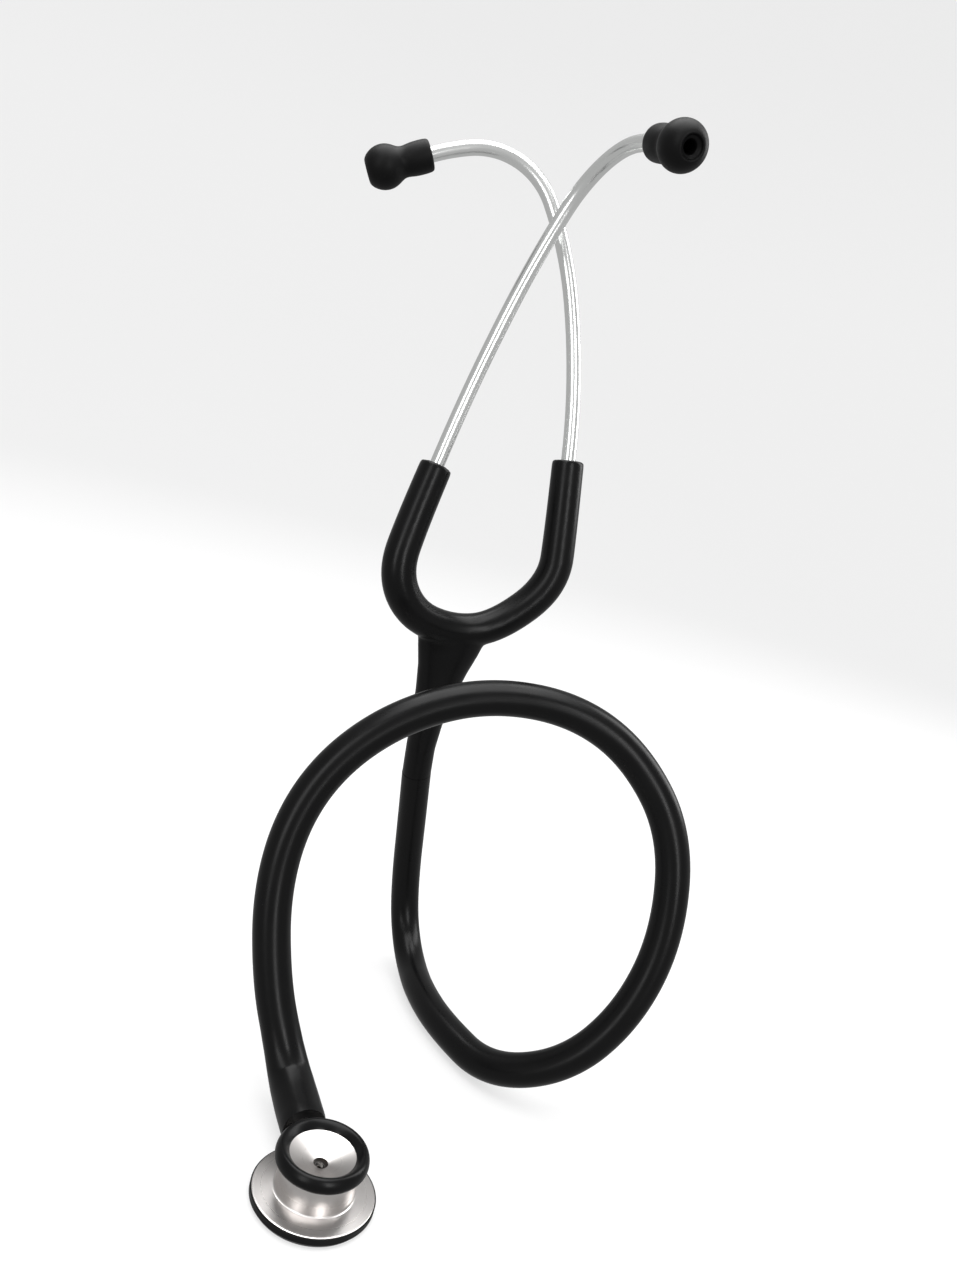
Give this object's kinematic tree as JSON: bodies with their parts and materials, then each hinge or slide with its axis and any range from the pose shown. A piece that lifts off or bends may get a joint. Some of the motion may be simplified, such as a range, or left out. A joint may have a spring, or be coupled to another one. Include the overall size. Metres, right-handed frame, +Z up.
{
  "type": "stethoscope",
  "caption": "Dual-head acoustic stethoscope: flat diaphragm, open bell, soft tubing and a sprung headset, set down on its diaphragm and the low bend of its tube.",
  "frame": {"origin": "centre of the diaphragm's outer face, where the chestpiece rests", "axes": "+Z up through the bell, +Y along the stem away from the chestpiece, +X to the right of the stem"},
  "size_m": [0.1281, 0.1701, 0.304],
  "materials": {
    "machined_steel": "fine turned, satin",
    "stem_steel": "turned",
    "pin_steel": "ground",
    "spring_steel": "cold rolled",
    "ring_rubber": "smooth, soft sheen",
    "seal_rubber": "matte",
    "membrane": "resin-filled sheet",
    "clip_plastic": "moulded, satin",
    "tubing": "satin extruded",
    "yoke_moulding": "satin moulded",
    "eartube_metal": "polished",
    "eartip_soft": "soft matte",
    "core_plastic": "moulded"
  },
  "bodies": {
    "tubing": {"tube": "tubing", "yoke": "yoke_moulding", "leaf_spring": "spring_steel", "stem": "stem_steel", "stem_seal": "seal_rubber"},
    "chestpiece": {"chestpiece_body": "machined_steel", "bell_rim": "ring_rubber", "diaphragm": "membrane", "diaphragm_rim": "clip_plastic", "stem_pin": "pin_steel", "detent_ball": "pin_steel", "detent_spring": "spring_steel", "detent_screw": "pin_steel"},
    "left_binaural": {"eartube_left": "eartube_metal"},
    "right_binaural": {"eartube_right": "eartube_metal"},
    "left_eartip": {"eartip_left": "eartip_soft", "eartip_core_left": "core_plastic"},
    "right_eartip": {"eartip_right": "eartip_soft", "eartip_core_right": "core_plastic"}
  },
  "joints": [
    {"name": "chestpiece_turn", "type": "hinge", "parent": "tubing", "child": "chestpiece", "pos_m": [0, 0, 0.0076], "axis": [0, 1, 0], "continuous": true, "deforming": ["detent_ball", "detent_spring"]},
    {"name": "right_arm_spread", "type": "hinge", "parent": "tubing", "child": "right_binaural", "pos_m": [0.056, 0.108, 0.139], "axis": [0.082, 0.9956, -0.045], "range_deg": [0, 38], "stiffness_Nm_per_rad": 0.8, "deforming": ["yoke", "leaf_spring"]},
    {"name": "left_arm_spread", "type": "hinge", "parent": "tubing", "child": "left_binaural", "pos_m": [0.026, 0.1085, 0.14], "axis": [-0.082, -0.9956, 0.045], "range_deg": [0, 38], "stiffness_Nm_per_rad": 0.8, "deforming": ["yoke", "leaf_spring"]},
    {"name": "left_eartip_pull", "type": "slide", "parent": "left_binaural", "child": "left_eartip", "axis": [-0.0198, -0.9736, -0.2276], "range_m": [0, 0.012]},
    {"name": "right_eartip_pull", "type": "slide", "parent": "right_binaural", "child": "right_eartip", "axis": [-0.8311, 0.251, -0.4963], "range_m": [0, 0.012]}
  ],
  "couplings": [
    {"joint": "left_arm_spread", "follows": "right_arm_spread", "ratio": 1}
  ]
}
